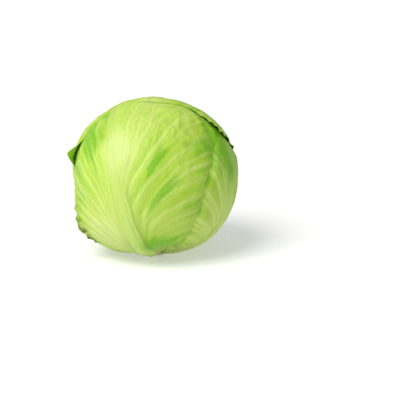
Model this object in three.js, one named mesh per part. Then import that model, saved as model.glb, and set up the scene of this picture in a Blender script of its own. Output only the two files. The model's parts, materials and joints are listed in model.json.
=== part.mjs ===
// A head of iceberg lettuce, standing on its cut stem.
// Lengths are in millimetres and angles in degrees. +Z is up, the front leaf faces -Y, and the origin is the
// middle of the stem's cut face.
//
// Each leaf is a flat sheet wrapped round the head by a stereographic projection, so it keeps its shape
// wherever it lies. The sheet is drawn in polar form about the leaf's foot, beneath the head. A ray runs from
// the foot to the margin, and its turn is its angle from the leaf's middle ray. A share is 0 beside the stem
// and 1 at the margin. Distances on the sheet are in head radii.
//
// Every face of every leaf is a height above one head surface, looked at from the head's centre, and a leaf
// sinks by one step wherever a leaf outside it covers it, so the leaves nest and never cross.

import * as THREE from "three";
import { mergeVertices } from "three/addons/utils/BufferGeometryUtils.js";

// The head
const CENTRE_HEIGHT = 73;
const HALF_WIDTH = 77;
const HALF_DEPTH = 75;
const CROWN_HEIGHT = 74;
const BASE_HEIGHT = 68;
const BASE_SQUARENESS = 2.3;
const SWELLINGS = [
  { azimuth: 172, rise: 48, spread: 16, height: -1.2 },
  { azimuth: 345, rise: 46, spread: 18, height: 2.0 },
  { azimuth: 28, rise: 64, spread: 14, height: 1.2 },
  { azimuth: 330, rise: 62, spread: 14, height: 2.0 },
  { azimuth: 5, rise: 15, spread: 24, height: 3.2 },
  { azimuth: 186, rise: -12, spread: 26, height: -5.5 },
  { azimuth: 205, rise: -40, spread: 26, height: 4.0 },
  { azimuth: 20, rise: -35, spread: 30, height: 2.0 },
  { azimuth: 285, rise: -56, spread: 13, height: -5.0 },
  { azimuth: 290, rise: 10, spread: 28, height: -1.8 },
  { azimuth: 90, rise: 20, spread: 24, height: 2.2 },
  { azimuth: 60, rise: -20, spread: 22, height: -2.2 },
  { azimuth: 130, rise: -15, spread: 26, height: 1.6 },
];

// The stem
const STEM_CUT_RADIUS = 13;
const STEM_TOP_RADIUS = 7;
const STEM_HEIGHT = 50;
const STEM_SEGMENTS = 28;
const STEM_GAP = 0.8;
const LEAF_CLEARANCE = 0.6;

// The blades and how they nest
const BLADE = 0.8;
const LEAF_STEP = 2.65;
const INNER_LEAF_STEP = 3.5;
const LEAF_STEP_AT_STEM = 3.4;
const STEM_INFLUENCE = 40;
const RIB_HALF_WIDTH = 12;
const COVERED_RIB_SHARE = 0.2;
const VEINS_ROUND = 31;
const VEIN_HEIGHT = 1.5;
const WAVE_HEIGHT = 3;
const LEAN_FADE = 1.32;
const COVER_FADE_START = 14;
const COVER_FADE_END = 31;
// The least length of a unit of sheet in that, as the sheet shrinks to nothing across the head from its leaf.
const LEAST_UNIT = 20;

// The faceting
const OUTER_ROWS = 18;
const OUTER_CELL = 9;
const INNER_ROWS = 10;
const INNER_CELL = 17;
const ROW_CROWDING = 1.15;
const OUTER_TOOTH = 0.03;
const INNER_TOOTH = 0.03;
const HEART_COLUMNS = 30;
const HEART_ROWS = 16;

// The leaves that show, outermost first. Fan is how far the leaf turns to the left and to the right. Reach is
// the sheet distance from the foot to the margin, on seven even rays to each side with the middle one in
// common. Lean is how far the midrib turns aside at its foot, and it nears the middle ray as it climbs.
// A lift raises the margin by a height round one turn, from a share outwards.
const OUTER_LEAVES = [
  {
    name: "leaf_over_top", azimuth: 62, rise: 12, fan: [20, 46], bend: 0, lean: 6, phase: 3,
    reach: [3.5, 3.7, 3.8, 3.88, 4.02, 4.17, 4.22, 4.22, 4.1, 3.7, 3.0, 2.1, 1.2],
    lifts: [{ turn: -20, width: 4, height: 3, from: 0.86 }],
  },
  {
    name: "leaf_left", azimuth: 135, rise: 10, fan: [56, 22.5], bend: 0, lean: -14, phase: 5,
    reach: [1.2, 1.9, 2.6, 3.2, 3.6, 3.8, 3.8, 3.62, 3.43, 3.27, 3.14, 3.06, 2.95],
    lifts: [{ turn: 23, width: 3.5, height: 10, from: 0.86 }],
  },
  {
    name: "leaf_front", azimuth: 256, rise: 8, fan: [28, 32.5], bend: -3, lean: 18, phase: 11,
    reach: [1.75, 2.5, 3.25, 3.85, 4.15, 4.28, 4.3, 4.3, 4.25, 4.15, 4.0, 3.75, 3.3],
    lifts: [{ turn: -28, width: 5, height: 4, from: 0.5 }],
  },
  {
    name: "leaf_right", azimuth: 345, rise: 6, fan: [58, 58], bend: 0, lean: -9, phase: 7,
    reach: [1.05, 1.5, 2.0, 2.7, 3.4, 3.9, 4.1, 4.0, 3.7, 3.1, 2.4, 1.7, 1.1],
    lifts: [],
  },
  {
    name: "leaf_back", azimuth: 88, rise: 10, fan: [58, 58], bend: 0, lean: 6, phase: 9,
    reach: [1.1, 1.6, 2.2, 2.9, 3.5, 3.95, 4.1, 4.0, 3.6, 2.9, 2.3, 1.6, 1.1],
    lifts: [],
  },
  {
    name: "leaf_left_low", azimuth: 205, rise: 4, fan: [58, 58], bend: 0, lean: 9, phase: 13,
    reach: [1.1, 1.6, 2.1, 2.8, 3.4, 3.85, 4.0, 3.9, 3.5, 2.8, 2.2, 1.6, 1.1],
    lifts: [],
  },
];

// The leaves inside follow each other round the stem by the golden angle.
const INNER_LEAF_COUNT = 8;
const GOLDEN_ANGLE = 137.5;
const INNER_REACH = [1.3, 1.75, 2.4, 3.0, 3.5, 3.8, 3.9, 3.8, 3.5, 3.0, 2.4, 1.75, 1.3];
const INNER_LEAVES = Array.from({ length: INNER_LEAF_COUNT }, (_, index) => ({
  name: `leaf_inner_${index + 1}`,
  azimuth: (205 + GOLDEN_ANGLE * (index + 1)) % 360,
  rise: 6,
  fan: [62, 62],
  bend: 0,
  lean: 0,
  phase: 17 + 3 * index,
  reach: INNER_REACH,
  lifts: [],
}));
const LEAVES = [...OUTER_LEAVES, ...INNER_LEAVES];

const LEAF_GREENS = [0xb9dc6c, 0xa9d455, 0xb4dc62, 0x9fcb4e, 0xaad458, 0xa4d050];
const INNER_LEAF_YELLOW = 0xe3ec9c;
const HEART_YELLOW = 0xf0eda6;
const STEM_CREAM = 0xe9e6c4;

const radians = THREE.MathUtils.degToRad;
const degrees = THREE.MathUtils.radToDeg;
const clamp = THREE.MathUtils.clamp;
const smooth = (low, high, value) => THREE.MathUtils.smoothstep(value, low, high);
const bell = (value, width) => Math.exp(-((value / width) ** 2));

function direction(azimuth, rise) {
  const flat = Math.cos(radians(rise));
  return new THREE.Vector3(
    flat * Math.cos(radians(azimuth)),
    flat * Math.sin(radians(azimuth)),
    Math.sin(radians(rise)),
  );
}

// The reading at a spread from -1 to 1 of a smooth curve through evenly spaced values.
function curveThrough(values, spread) {
  const place = ((clamp(spread, -1, 1) + 1) / 2) * (values.length - 1);
  const left = Math.min(Math.floor(place), values.length - 2);
  const part = place - left;
  const b = values[left];
  const c = values[left + 1];
  const a = values[Math.max(left - 1, 0)];
  const d = values[Math.min(left + 2, values.length - 1)];
  const cubic = 2 * a - 5 * b + 4 * c - d + part * (3 * (b - c) + d - a);
  return b + 0.5 * part * (c - a + part * cubic);
}

// The head's outer surface, as a distance from its centre. It is rounder above than beneath.
function headRadius(along) {
  const beneath = along.z < 0;
  const power = beneath ? BASE_SQUARENESS : 2;
  const flat = Math.hypot(along.x / HALF_WIDTH, along.y / HALF_DEPTH);
  const tall = Math.abs(along.z) / (beneath ? BASE_HEIGHT : CROWN_HEIGHT);
  const plain = (flat ** power + tall ** power) ** (-1 / power);
  const swollen = (total, swelling) => {
    const away = degrees(along.angleTo(direction(swelling.azimuth, swelling.rise)));
    return total + swelling.height * bell(away, swelling.spread);
  };
  return SWELLINGS.reduce(swollen, plain);
}

// The sheet's middle direction, its way up and its way to the right, and where its foot lies beneath
// the middle.
function sheetOf(leaf) {
  const out = direction(leaf.azimuth, leaf.rise);
  const up = direction(leaf.azimuth, leaf.rise + 90);
  const right = new THREE.Vector3().crossVectors(up, out);
  const foot = 2 * Math.tan(radians(90 + leaf.rise) / 2);
  return { out, up, right, foot };
}

function wrap(leaf, turn, distance) {
  const { out, up, right, foot } = leaf.sheet;
  const angle = radians(turn + leaf.bend * distance);
  const x = distance * Math.sin(angle);
  const y = distance * Math.cos(angle) - foot;
  const square = x * x + y * y;
  return new THREE.Vector3()
    .addScaledVector(out, 4 - square)
    .addScaledVector(right, 4 * x)
    .addScaledVector(up, 4 * y)
    .divideScalar(4 + square);
}

function unwrap(leaf, along) {
  const { out, up, right, foot } = leaf.sheet;
  const scale = 2 / Math.max(1 + along.dot(out), 1e-9);
  const x = along.dot(right) * scale;
  const y = along.dot(up) * scale + foot;
  const distance = Math.hypot(x, y);
  return { turn: degrees(Math.atan2(x, y)) - leaf.bend * distance, distance };
}

const fanBeside = (leaf, turn) => leaf.fan[turn < 0 ? 0 : 1];
const turnAt = (leaf, part) => -leaf.fan[0] + (leaf.fan[0] + leaf.fan[1]) * part;
const reachAt = (leaf, turn) => curveThrough(leaf.reach, turn / fanBeside(leaf, turn));

// How many millimetres on the head one unit of a leaf's sheet takes up, towards a direction.
const sheetScale = (leaf, along) => (HALF_WIDTH * (1 + along.dot(leaf.sheet.out))) / 2;

// How far inside its leaf's margin a point of the sheet lies, in millimetres. It is negative past the margin.
function insideMargin(leaf, along, turn, distance) {
  const change = reachAt(leaf, turn + 1) - reachAt(leaf, turn - 1);
  const slope = change / (radians(2) * distance);
  const toTip = (reachAt(leaf, turn) - distance) / Math.hypot(1, slope);
  const toSide = radians(fanBeside(leaf, turn) - Math.abs(turn)) * distance;
  return Math.min(toTip, toSide) * Math.max(sheetScale(leaf, along), LEAST_UNIT);
}

// How far a leaf lies over a direction: 1 on the leaf, fading to 0 past its margin.
function coverBy(leaf, along) {
  const { turn, distance } = unwrap(leaf, along);
  const past = -insideMargin(leaf, along, turn, distance);
  return 1 - smooth(COVER_FADE_START, COVER_FADE_END, past);
}

const nearStem = (along) => bell(degrees(Math.acos(clamp(-along.z, -1, 1))), STEM_INFLUENCE);

function stepAt(along, widestStep) {
  return widestStep + (LEAF_STEP_AT_STEM - widestStep) * nearStem(along);
}

// The depth beneath the head's surface of a leaf inside all the outer ones, or of the heart inside those.
function depthInside(along, innerLeaves) {
  return OUTER_LEAVES.length * stepAt(along, LEAF_STEP) + innerLeaves * stepAt(along, INNER_LEAF_STEP);
}

// How deep a leaf lies beneath the head's surface, and how free it is of the leaves outside it.
function nest(leaf, along) {
  if (leaf.layer >= OUTER_LEAVES.length) {
    return { depth: depthInside(along, leaf.layer - OUTER_LEAVES.length), free: 0 };
  }
  let depth = 0;
  let free = 1;
  for (const outer of OUTER_LEAVES.slice(0, leaf.layer)) {
    const cover = coverBy(outer, along);
    depth += cover * stepAt(along, LEAF_STEP);
    free *= 1 - cover;
  }
  return { depth, free };
}

function stemRadius(height) {
  return STEM_CUT_RADIUS + (STEM_TOP_RADIUS - STEM_CUT_RADIUS) * clamp(height / STEM_HEIGHT, 0, 1);
}

// The sheet distance at which a ray clears the stem.
function startOf(leaf, turn) {
  let distance = 0.5;
  for (let round = 0; round < 6; round++) {
    const along = wrap(leaf, turn, distance);
    const radius = headRadius(along) - nest(leaf, along).depth - BLADE;
    const height = CENTRE_HEIGHT + radius * along.z;
    const outFromAxis = radius * Math.hypot(along.x, along.y);
    distance *= (stemRadius(height) + STEM_GAP) / outFromAxis;
  }
  return distance;
}

// How far from the head's centre a leaf may reach in a direction without touching what the head stands on.
function floorLimit(along) {
  return along.z < 0 ? (CENTRE_HEIGHT - LEAF_CLEARANCE) / -along.z : Infinity;
}

// The outer and the inner face of a leaf at one point of its sheet, as distances from the head's centre.
function facesAt(leaf, turn, share) {
  const start = startOf(leaf, turn);
  const distance = start + (reachAt(leaf, turn) - start) * share;
  const along = wrap(leaf, turn, distance);
  const { depth, free } = nest(leaf, along);

  const wayUp = clamp((distance - start) / (reachAt(leaf, 0) - start), 0, 1);
  const fromRib = turn - leaf.lean * Math.exp(-distance / LEAN_FADE);
  const acrossRib = radians(fromRib) * distance * sheetScale(leaf, along);
  const ribHalfWidth = RIB_HALF_WIDTH * (1 - wayUp) ** 0.75 + 1.5;
  const freeRib = 0.8 + 1.8 * nearStem(along) + 2.2 * (1 - wayUp);
  const coveredRib = COVERED_RIB_SHARE * (stepAt(along, LEAF_STEP) - BLADE);
  const rib = (free * freeRib + (1 - free) * coveredRib) * bell(acrossRib, ribHalfWidth);

  const atMargin = Math.exp(-insideMargin(leaf, along, turn, distance) / 9);
  const ridges = VEIN_HEIGHT * (0.5 + 0.5 * Math.cos(radians(fromRib * VEINS_ROUND)));
  const waves = WAVE_HEIGHT * atMargin * (0.5 + 0.5 * Math.sin(turn / 2 + distance * 6 + leaf.phase));
  const lift = leaf.lifts.reduce(
    (total, one) => total + one.height * bell(turn - one.turn, one.width) * smooth(one.from, 1, share),
    0,
  );
  const freeForm = free * (ridges * smooth(0.1, 0.4, wayUp) + waves + lift);
  const settled = headRadius(along) - depth + freeForm - 0.25 * atMargin;
  return { along, outer: Math.min(settled + rib, floorLimit(along)), inner: settled - BLADE };
}

// The triangles between two rows of vertex numbers, which may hold different counts.
function stitch(near, far) {
  const triangles = [];
  let i = 0;
  let j = 0;
  while (i < near.length - 1 || j < far.length - 1) {
    const nearNext = (i + 1) / (near.length - 1);
    const farNext = (j + 1) / (far.length - 1);
    if (i < near.length - 1 && (j === far.length - 1 || nearNext <= farNext)) {
      triangles.push([near[i], near[i + 1], far[j]]);
      i++;
    } else {
      triangles.push([near[i], far[j + 1], far[j]]);
      j++;
    }
  }
  return triangles;
}

function rowColumns(leaf, share, cell) {
  const samples = 24;
  let length = 0;
  let last = null;
  for (let index = 0; index <= samples; index++) {
    const { along, outer } = facesAt(leaf, turnAt(leaf, index / samples), share);
    const point = along.clone().multiplyScalar(outer);
    length += last ? point.distanceTo(last) : 0;
    last = point;
  }
  return Math.max(7, Math.round(length / cell) + 1);
}

function solidFrom(points, triangles) {
  const geometry = new THREE.BufferGeometry();
  geometry.setAttribute("position", new THREE.Float32BufferAttribute(points.flat(), 3));
  geometry.setIndex(triangles.flat());
  geometry.computeVertexNormals();
  return geometry;
}

// A leaf as one closed blade: rows of points across the fan, the same triangles on both faces, and a rim. The
// margin is cut into teeth by drawing back every other point of its last row.
function leafGeometry(leaf, rowCount, cell, toothDepth) {
  const outerPoints = [];
  const innerPoints = [];
  const rows = [];
  for (let row = 0; row <= rowCount; row++) {
    const share = (row / rowCount) ** ROW_CROWDING;
    const columns = rowColumns(leaf, share, cell);
    const numbers = [];
    for (let column = 0; column < columns; column++) {
      const turn = turnAt(leaf, column / (columns - 1));
      const drawnBack = row === rowCount && column % 2 === 1 ? toothDepth : 0;
      const { along, outer, inner } = facesAt(leaf, turn, share - drawnBack);
      numbers.push(outerPoints.length);
      outerPoints.push(along.clone().multiplyScalar(outer).toArray());
      innerPoints.push(along.clone().multiplyScalar(inner).toArray());
    }
    rows.push(numbers);
  }

  const inward = outerPoints.length;
  const face = rows.slice(1).flatMap((row, index) => stitch(rows[index], row));
  const back = face.map(([a, b, c]) => [a + inward, c + inward, b + inward]);
  const rim = [
    ...rows[0],
    ...rows.slice(1, -1).map((row) => row.at(-1)),
    ...rows.at(-1).toReversed(),
    ...rows.slice(1, -1).map((row) => row[0]).toReversed(),
  ];
  const edge = rim.flatMap((number, index) => {
    const next = rim[(index + 1) % rim.length];
    return [
      [number, number + inward, next],
      [next, number + inward, next + inward],
    ];
  });
  return solidFrom([...outerPoints, ...innerPoints], [...face, ...back, ...edge]);
}

// The stem's core: a tapering plug with a flat cut face, ringed where leaves were pulled away.
function stemGeometry() {
  const profile = [new THREE.Vector2(0, 0), new THREE.Vector2(STEM_CUT_RADIUS - 1, 0)];
  const rings = 8;
  for (let ring = 0; ring <= rings; ring++) {
    const height = 1 + (ring / rings) * (STEM_HEIGHT - 4);
    const groove = ring % 2 === 0 ? 0 : 0.5;
    profile.push(new THREE.Vector2(stemRadius(height) - groove, height));
  }
  profile.push(new THREE.Vector2(STEM_TOP_RADIUS - 3, STEM_HEIGHT));
  profile.push(new THREE.Vector2(0, STEM_HEIGHT));
  const lathe = new THREE.LatheGeometry(profile, STEM_SEGMENTS);
  lathe.deleteAttribute("normal");
  lathe.deleteAttribute("uv");
  const stem = mergeVertices(lathe.rotateX(Math.PI / 2), 0.001);
  stem.computeVertexNormals();
  return stem;
}

// The heart: the youngest leaves as one tight bud, whose overlapping edges wind round it as low steps.
function heartRadius(along) {
  const azimuth = degrees(Math.atan2(along.y, along.x));
  const rise = degrees(Math.asin(clamp(along.z, -1, 1)));
  const leafEdges = 5;
  const turn = ((azimuth + 0.8 * rise) * leafEdges) / 360;
  const fold = turn - Math.floor(turn);
  const edge = 1.8 * fold * (1 - smooth(0.86, 1, fold)) * Math.cos(radians(rise));
  const crumple = 0.5 * Math.sin(radians(azimuth * 7)) * Math.cos(radians(rise * 5));
  return headRadius(along) - depthInside(along, INNER_LEAVES.length) - 3 + edge + crumple;
}

function heartGeometry() {
  const points = [];
  const rows = [];
  for (let row = 0; row <= HEART_ROWS; row++) {
    const rise = 180 * (row / HEART_ROWS) - 90;
    const columns = row % HEART_ROWS === 0 ? 1 : HEART_COLUMNS;
    const numbers = [];
    for (let column = 0; column < columns; column++) {
      const along = direction((360 * column) / columns, rise);
      numbers.push(points.length);
      points.push(along.multiplyScalar(heartRadius(along)).toArray());
    }
    rows.push([...numbers, numbers[0]]);
  }
  const ends = ([a, b, c]) => a !== b && b !== c && c !== a;
  const skin = rows.slice(1).flatMap((row, index) => stitch(rows[index], row));
  return solidFrom(points, skin.filter(ends));
}

const finish = (color, roughness) =>
  new THREE.MeshStandardMaterial({ color, roughness, metalness: 0 });

function addMesh(parent, name, geometry, material) {
  const mesh = new THREE.Mesh(geometry, material);
  mesh.name = name;
  parent.add(mesh);
}

LEAVES.forEach((leaf, layer) => {
  leaf.layer = layer;
  leaf.sheet = sheetOf(leaf);
});

const lettuce = new THREE.Group();
addMesh(lettuce, "stem", stemGeometry(), finish(STEM_CREAM, 0.6));

const leaves = new THREE.Group();
leaves.position.z = CENTRE_HEIGHT;
OUTER_LEAVES.forEach((leaf, index) => {
  const blade = leafGeometry(leaf, OUTER_ROWS, OUTER_CELL, OUTER_TOOTH);
  addMesh(leaves, leaf.name, blade, finish(LEAF_GREENS[index], 0.45));
});
INNER_LEAVES.forEach((leaf) => {
  const blade = leafGeometry(leaf, INNER_ROWS, INNER_CELL, INNER_TOOTH);
  addMesh(leaves, leaf.name, blade, finish(INNER_LEAF_YELLOW, 0.5));
});
addMesh(leaves, "heart", heartGeometry(), finish(HEART_YELLOW, 0.5));
lettuce.add(leaves);

export default lettuce;
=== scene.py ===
import json
import math

import bpy
import numpy as np
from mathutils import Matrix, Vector

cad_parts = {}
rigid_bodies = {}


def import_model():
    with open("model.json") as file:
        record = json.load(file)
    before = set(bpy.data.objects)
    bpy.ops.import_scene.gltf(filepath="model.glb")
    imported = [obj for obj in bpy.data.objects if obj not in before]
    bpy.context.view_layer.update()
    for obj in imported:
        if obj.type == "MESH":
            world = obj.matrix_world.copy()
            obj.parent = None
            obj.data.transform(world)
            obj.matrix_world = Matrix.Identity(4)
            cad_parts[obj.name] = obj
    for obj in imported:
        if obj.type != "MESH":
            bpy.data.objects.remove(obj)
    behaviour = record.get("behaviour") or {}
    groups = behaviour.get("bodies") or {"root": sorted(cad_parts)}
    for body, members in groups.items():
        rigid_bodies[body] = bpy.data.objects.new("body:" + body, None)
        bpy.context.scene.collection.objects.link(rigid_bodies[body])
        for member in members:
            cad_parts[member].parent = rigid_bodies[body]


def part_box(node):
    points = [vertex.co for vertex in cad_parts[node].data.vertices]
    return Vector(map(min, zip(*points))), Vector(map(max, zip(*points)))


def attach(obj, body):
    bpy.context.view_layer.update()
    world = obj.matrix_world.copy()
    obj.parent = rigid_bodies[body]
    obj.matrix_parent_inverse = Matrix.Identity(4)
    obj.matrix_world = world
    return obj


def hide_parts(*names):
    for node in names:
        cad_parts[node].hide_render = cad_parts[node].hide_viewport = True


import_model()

# A head of iceberg lettuce, standing on its cut stem. The leaves that show are modelled here at full detail
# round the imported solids, in the same frame. Formulas work in millimetres and degrees, and meshes in metres.

bl_info = {
    "name": "Head of lettuce",
    "version": (1, 0, 0),
    "blender": (4, 5, 0),
    "location": "3D View > Sidebar > Lettuce",
    "description": "Makes the leaves, stem and stage of a head of iceberg lettuce",
    "category": "Object",
}

MM = 0.001
STEM_LOW, STEM_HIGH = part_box("stem")

# The head: an egg shape that is rounder above than beneath, with a few broad swellings.
HEAD_CENTRE = np.array([0.0, 0.0, 73.0])
HALF_WIDTH = 77.0
HALF_DEPTH = 75.0
CROWN_HEIGHT = 74.0
BASE_HEIGHT = 68.0
BASE_SQUARENESS = 2.3
SWELLINGS = [
    # azimuth, rise, spread, height
    (172, 48, 16, -1.2),
    (345, 46, 18, 2.0),
    (28, 64, 14, 1.2),
    (330, 62, 14, 2.0),
    (5, 15, 24, 3.2),
    (186, -12, 26, -5.5),
    (205, -40, 26, 4.0),
    (20, -35, 30, 2.0),
    (285, -56, 13, -5.0),
    (290, 10, 28, -1.8),
    (90, 20, 24, 2.2),
    (60, -20, 22, -2.2),
    (130, -15, 26, 1.6),
]

# Broad places where the outer leaves are paler, or a deeper green where the shift is negative. Most are the
# leaves' own colour. Two are painted light: a painted highlight up on the front, and painted shade in the
# hollow low on the front.
TINTS_AND_PAINTED_LIGHT = [
    # azimuth, rise, spread, shift
    (267, 77, 18, 0.6),
    # Painted highlight: paler where the light falls most fully, up on the front of the head.
    (248, 33, 14, 0.8),
    (261, 52, 12, 0.5),
    (233, -28, 16, 0.7),
    (214, 35, 9, -0.5),
    # Painted shade: deeper olive green in the hollow low on the front, right of the midrib's foot.
    (277, -42, 13, -1.1),
    (342, 23, 22, -1.3),
    (200, -18, 9, -0.8),
    (312, 45, 14, 0.5),
    (298, 20, 10, 0.3),
    (276, -19, 11, 0.3),
]

# The leaves that show, outermost first. Each is a flat sheet wrapped round the head, drawn in polar form about
# its foot. A turn is an angle from the leaf's middle ray, and a share is 0 at the stem and 1 at the margin. Fan
# is how far the leaf turns to each side, and reach the distance from foot to margin in head radii, on seven
# even rays to each side with the middle one in common. Lean is how far the midrib turns aside at its foot. A
# lift raises the margin: turn, width, height and the share that it starts from. A frill is where the margin is
# fluted and toothed, and a crumple where the blade is creased: turn, width, distance, length and strength. A
# green is a deeper strip between two veins: vein label, width, distance, length and strength. A point is a
# single long tooth of the left edge: distance, half width and length in millimetres.
LEAVES = [
    dict(
        name="leaf_over_top", azimuth=62, rise=12, fan=(20, 46), bend=0, lean=6, seed=3, cell=1.2,
        reach=(3.5, 3.7, 3.8, 3.88, 4.02, 4.17, 4.22, 4.22, 4.1, 3.7, 3.0, 2.1, 1.2),
        lifts=[(-20, 4, 2.0, 0.88)],
        frills=[(-20, 6, 3.3, 0.6, 0.5), (42, 8, 2.5, 0.9, 0.25)],
    ),
    dict(
        name="leaf_left", azimuth=135, rise=10, fan=(56, 22.5), bend=0, lean=-14, seed=5, cell=1.25,
        reach=(1.2, 1.9, 2.6, 3.2, 3.6, 3.8, 3.8, 3.62, 3.43, 3.27, 3.14, 3.06, 2.95),
        lifts=[(23, 2.8, 10.0, 0.88)],
        frills=[(-34, 12, 3.0, 2.0, 0.8)],
    ),
    dict(
        name="leaf_front", azimuth=256, rise=8, fan=(28, 32.5), bend=-3, lean=18, seed=11, cell=1.05,
        reach=(1.75, 2.5, 3.25, 3.85, 4.15, 4.28, 4.3, 4.3, 4.25, 4.15, 4.0, 3.75, 3.3),
        lifts=[(-28, 4, 2.0, 0.5)],
        frills=[(-28, 6, 1.8, 0.3, 0.9)],
        points=[(2.1, 0.04, 2.0), (1.93, 0.045, 3.0), (1.79, 0.04, 3.5), (1.58, 0.04, 3.5), (1.44, 0.03, 3.5)],
        crumples=[(25, 9, 3.45, 0.5, 1.0), (19, 9, 2.9, 0.5, 0.5)],
        greens=[
            (0.59, 0.035, 2.2, 0.28, 1.3), (0.425, 0.03, 2.62, 0.25, 1.2), (-0.2, 0.03, 3.0, 0.25, 0.9),
            (-0.19, 0.02, 2.45, 0.2, 0.5), (-0.37, 0.03, 2.45, 0.3, 0.7), (0.5, 0.04, 3.15, 0.3, 0.6),
        ],
    ),
    dict(
        name="leaf_right", azimuth=345, rise=6, fan=(58, 58), bend=0, lean=-9, seed=7, cell=1.4,
        reach=(1.05, 1.5, 2.0, 2.7, 3.4, 3.9, 4.1, 4.0, 3.7, 3.1, 2.4, 1.7, 1.1),
        lifts=[],
        frills=[(30, 24, 3.0, 2.0, 0.7)],
    ),
    dict(
        name="leaf_back", azimuth=88, rise=10, fan=(58, 58), bend=0, lean=6, seed=9, cell=1.8,
        reach=(1.1, 1.6, 2.2, 2.9, 3.5, 3.95, 4.1, 4.0, 3.6, 2.9, 2.3, 1.6, 1.1),
        lifts=[],
        frills=[(0, 60, 3.0, 2.0, 0.6)],
    ),
    dict(
        name="leaf_left_low", azimuth=205, rise=4, fan=(58, 58), bend=0, lean=9, seed=13, cell=1.6,
        reach=(1.1, 1.6, 2.1, 2.8, 3.4, 3.85, 4.0, 3.9, 3.5, 2.8, 2.2, 1.6, 1.1),
        lifts=[],
        frills=[(0, 60, 3.0, 2.0, 0.8)],
    ),
]

# The leaves inside follow each other round the stem by the golden angle. Inside is how many of them lie
# outside the leaf.
INNER_LEAVES = [
    dict(
        name=f"leaf_inner_{inside + 1}", azimuth=(205 + 137.5 * (inside + 1)) % 360, rise=6, fan=(62, 62),
        bend=0, lean=0, seed=17 + 3 * inside, cell=3.0, inside=inside,
        reach=(1.3, 1.75, 2.4, 3.0, 3.5, 3.8, 3.9, 3.8, 3.5, 3.0, 2.4, 1.75, 1.3),
        lifts=[],
        frills=[(0, 60, 3.0, 2.0, 0.5)],
    )
    for inside in range(8)
]
OUTER_DEPTH = 15.9
INNER_LEAF_STEP = 3.5
INNER_RELIEF = 0.4
HEART_LEAF_EDGES = 5

# How leaves nest: each sinks by a step wherever another lies over it, and rises again past that one's margin.
LEAF_STEP = 1.6
LEAF_STEP_AT_STEM = 3.4
STEM_INFLUENCE = 40.0
COVER_FADE_START = 1.2
COVER_FADE_END = 8.0
# The least length of a unit of sheet in that, as the sheet shrinks to nothing across the head from its leaf.
LEAST_UNIT = 20.0
COVERED_RIB_SHARE = 0.2
LEAN_FADE = 1.32
STEM_GAP = 0.5
MARGIN_GAP = 0.04
FLOOR_CLEARANCE = 0.5

# The form of a blade: its side veins, its keel, and the head's nominal radius, which noise is measured on.
VEIN_PAIRS = 10
VEIN_FORKS = 5
KEEL_HEIGHT = 2.6
FIBRE_HEIGHT = 0.13
CREASE_DEPTH = 1.8
TOOTH_RISE = 0.5
LEAST_THICKNESS = 0.3
NOMINAL_RADIUS = 75.0
ROW_UNIT = 50.0

# The photograph's frame, which is 400 pixels square, and where the stem's cut face lies in it.
PHOTO_SIDE = 400
STEM_PIXEL = (152.5, 252.0)
MM_PER_PIXEL = 0.94
CAMERA_RISE = 15.0
CAMERA_DISTANCE = 1.6
SENSOR_WIDTH = 36.0
FLOOR_HALF_SIDE = 6000.0
SKY_STRENGTH = 0.42


def measure(name, description, default, low, high):
    return bpy.props.FloatProperty(
        name=name, description=description, default=default, min=low, max=high, unit="LENGTH", precision=4)


class LettuceShape(bpy.types.PropertyGroup):
    blade: measure(
        "Blade thickness", "Thickness of a leaf away from its ribs", 0.6 * MM, 0.3 * MM, 2 * MM)
    rib_half_width: measure(
        "Midrib half width", "Half the width of a midrib where it leaves the stem", 12 * MM, 2 * MM, 25 * MM)
    vein_height: measure(
        "Vein height", "How far the main side veins stand out of the blade", 0.8 * MM, 0.0, 3 * MM)
    pucker_height: measure(
        "Pucker height", "How far the blade bulges out between its veins", 0.7 * MM, 0.0, 4 * MM)
    pucker_size: measure("Pucker size", "Width of one bulge of the blade", 7 * MM, 2 * MM, 40 * MM)
    frill_height: measure("Frill height", "How far the margin's flutes stand out", 3.0 * MM, 0.0, 12 * MM)
    stem_radius: measure(
        "Stem radius", "Radius of the stem at its cut face", (STEM_HIGH[0] - STEM_LOW[0]) / 2, 5 * MM, 40 * MM)
    stem_top_radius: measure(
        "Stem top radius", "Radius of the stem inside the head", 7 * MM, 2 * MM, 30 * MM)
    stem_height: measure(
        "Stem height", "Height of the stem inside the head", STEM_HIGH[2] - STEM_LOW[2], 10 * MM, 100 * MM)
    bundle_count: bpy.props.IntProperty(
        name="Bundles in the cut", description="How many bundles of vessels ring the stem's cut face",
        default=26, min=0, max=80)


def colour(name, description, default):
    return bpy.props.FloatVectorProperty(
        name=name, description=description, default=default, min=0.0, max=1.0, size=3, subtype="COLOR")


class LettuceColours(bpy.types.PropertyGroup):
    # Deep green, which also paints the shade under covering leaves and in the hollow low on the front.
    leaf_deep_and_shade: colour("Deep leaf green", "The greenest patches between the veins", (0.17, 0.43, 0.006))
    leaf_mid: colour("Leaf green", "The blade of an outer leaf", (0.34, 0.56, 0.03))
    leaf_pale: colour("Pale leaf green", "The blade beside a vein and towards the base", (0.51, 0.65, 0.14))
    # The palest blade, and the painted highlight up on the front of the head.
    leaf_lightest_and_highlight: colour("Lightest leaf green", "Where the sun has not reached the blade", (0.68, 0.76, 0.33))
    vein: colour("Vein", "The veins of an outer leaf", (0.62, 0.73, 0.23))
    rib: colour("Midrib", "The midrib of an outer leaf", (0.53, 0.66, 0.18))
    inner_leaf: colour("Inner leaf", "The leaves inside the head", (0.68, 0.74, 0.22))
    heart: colour("Heart", "The bud in the middle of the head", (0.78, 0.76, 0.28))
    stem: colour("Stem", "The flesh of the stem", (0.74, 0.72, 0.46))
    stem_cut: colour("Stem cut", "The tanned rim of the stem's cut face", (0.42, 0.24, 0.10))
    floor: colour("Floor", "The plain floor", (0.62, 0.62, 0.62))


# The head's formulas

def direction(azimuth, rise):
    a, e = math.radians(azimuth), math.radians(rise)
    return np.array([math.cos(a) * math.cos(e), math.sin(a) * math.cos(e), math.sin(e)])


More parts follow.
